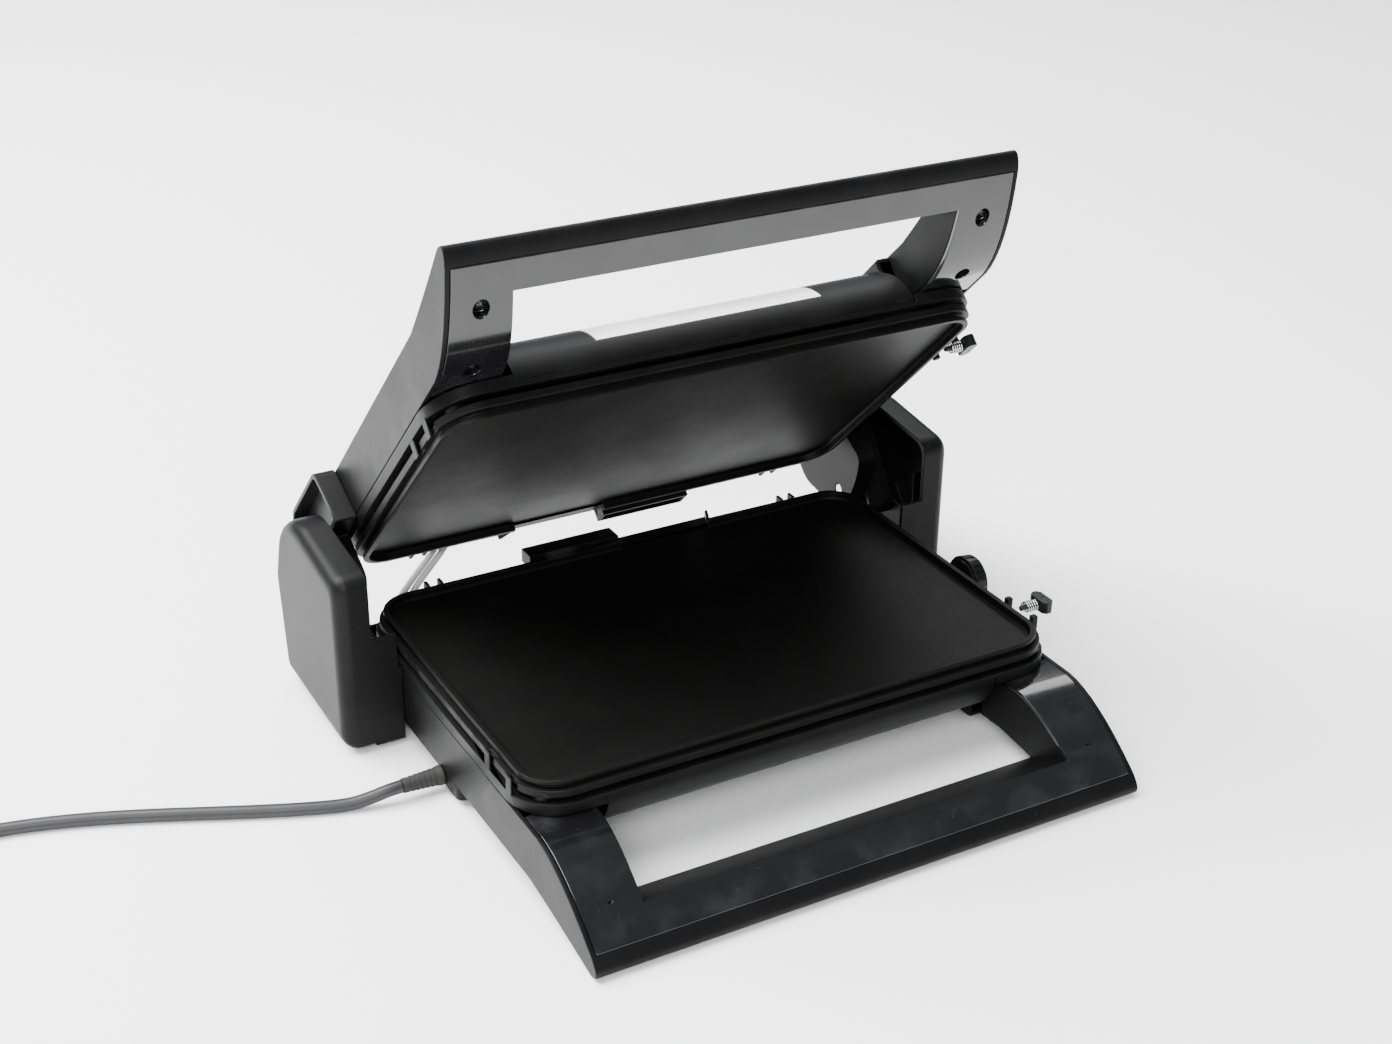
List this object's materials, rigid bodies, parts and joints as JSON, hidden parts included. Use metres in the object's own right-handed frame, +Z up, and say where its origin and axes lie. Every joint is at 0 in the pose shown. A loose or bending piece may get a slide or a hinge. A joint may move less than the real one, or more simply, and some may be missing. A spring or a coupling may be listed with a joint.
{
  "type": "panini press",
  "caption": "Contact grill with two hinged grill plates, hollow bar handles, side hinge covers, plate release buttons and a mains cord.",
  "frame": {"origin": "middle of the footprint of the press without its free cord, on the table", "axes": "+Z up, +X to the right of someone facing the handles, +Y to the back, towards the hinge"},
  "size_m": [0.6895, 0.4064, 0.3078],
  "materials": {
    "matt_black": "fine-grained moulded plastic",
    "gloss_black": "polished moulded plastic",
    "button_black": "satin moulded plastic",
    "non_stick": "satin non-stick coating on cast metal",
    "element_steel": "heat-darkened sheath",
    "tray_steel": "rolled sheet",
    "bright_steel": "bright plated",
    "brushed_inlay": "brushed, dimpled",
    "slider_nylon": "natural nylon",
    "ceramic": "unglazed",
    "lead_sleeve": "woven glass sleeve",
    "rubber": "matt rubber",
    "cord_jacket": "round flexible lead",
    "plug_black": "moulded plug"
  },
  "bodies": {
    "base": {"lower_grill_plate": "non_stick", "lower_heating_element": "element_steel", "lower_reflector_tray": "tray_steel", "lower_bezel": "matt_black", "lower_side_frame": "matt_black", "lower_shell": "matt_black", "lower_handle_cover": "gloss_black", "lower_thermostat": "ceramic", "lower_thermal_fuse": "ceramic", "lower_handle_screw_1": "bright_steel", "lower_handle_screw_2": "bright_steel", "lower_handle_screw_3": "bright_steel", "lower_handle_screw_4": "bright_steel", "lower_button_spring": "bright_steel", "lower_lead_1": "lead_sleeve", "lower_lead_2": "lead_sleeve", "hinge_guide_left": "matt_black", "side_cover_left": "matt_black", "hinge_guide_right": "matt_black", "side_cover_right": "matt_black", "rubber_foot_1": "rubber", "rubber_foot_2": "rubber", "rubber_foot_3": "rubber", "rubber_foot_4": "rubber", "terminal_block": "ceramic", "cord_gland": "rubber", "cord_run": "cord_jacket", "cord_coil": "cord_jacket", "cord_tail": "cord_jacket", "cord_tie": "matt_black", "power_plug": "plug_black"},
    "hinge_carriage": {"hinge_pin_left": "bright_steel", "slider_block_left": "slider_nylon", "hinge_pin_right": "bright_steel", "slider_block_right": "slider_nylon"},
    "upper_half": {"upper_grill_plate": "non_stick", "upper_heating_element": "element_steel", "upper_reflector_tray": "tray_steel", "upper_bezel": "matt_black", "upper_side_frame": "matt_black", "upper_shell": "matt_black", "upper_handle_cover": "gloss_black", "upper_thermostat": "ceramic", "upper_thermal_fuse": "ceramic", "upper_handle_screw_1": "bright_steel", "upper_handle_screw_2": "bright_steel", "upper_handle_screw_3": "bright_steel", "upper_handle_screw_4": "bright_steel", "upper_button_spring": "bright_steel", "upper_lead_1": "lead_sleeve", "upper_lead_2": "lead_sleeve", "upper_shell_inlay": "brushed_inlay", "hinge_arm_left": "matt_black", "hinge_arm_right": "matt_black"},
    "lower_button": {"lower_release_button": "button_black"},
    "upper_button": {"upper_release_button": "button_black"},
    "knob": {"thermostat_knob": "button_black"}
  },
  "joints": [
    {"name": "pin_slide", "type": "slide", "parent": "base", "child": "hinge_carriage", "axis": [0, 0.5621, 0.8271], "range_m": [-0.0118, 0.0354], "deforming": ["lower_lead_1", "lower_lead_2"]},
    {"name": "lid_hinge", "type": "hinge", "parent": "hinge_carriage", "child": "upper_half", "pos_m": [0, 0.11403, 0.05076], "axis": [-1, 0, 0], "range_deg": [-45, 135], "deforming": ["upper_lead_1", "upper_lead_2"]},
    {"name": "lower_button_push", "type": "slide", "parent": "base", "child": "lower_button", "axis": [-1, 0, 0], "range_m": [0, 0.004], "stiffness_N_per_m": 400, "springref_m": -0.004, "deforming": ["lower_button_spring"]},
    {"name": "upper_button_push", "type": "slide", "parent": "upper_half", "child": "upper_button", "axis": [-1, 0, 0], "range_m": [0, 0.004], "stiffness_N_per_m": 400, "springref_m": -0.004, "deforming": ["upper_button_spring"]},
    {"name": "knob_turn", "type": "hinge", "parent": "base", "child": "knob", "pos_m": [0.1583, -0.01624, 0.049], "axis": [-1, 0, 0], "range_deg": [0, 270]}
  ],
  "couplings": [
    {"joint": "pin_slide", "follows": "lid_hinge", "m_per_rad": 0.015018}
  ]
}
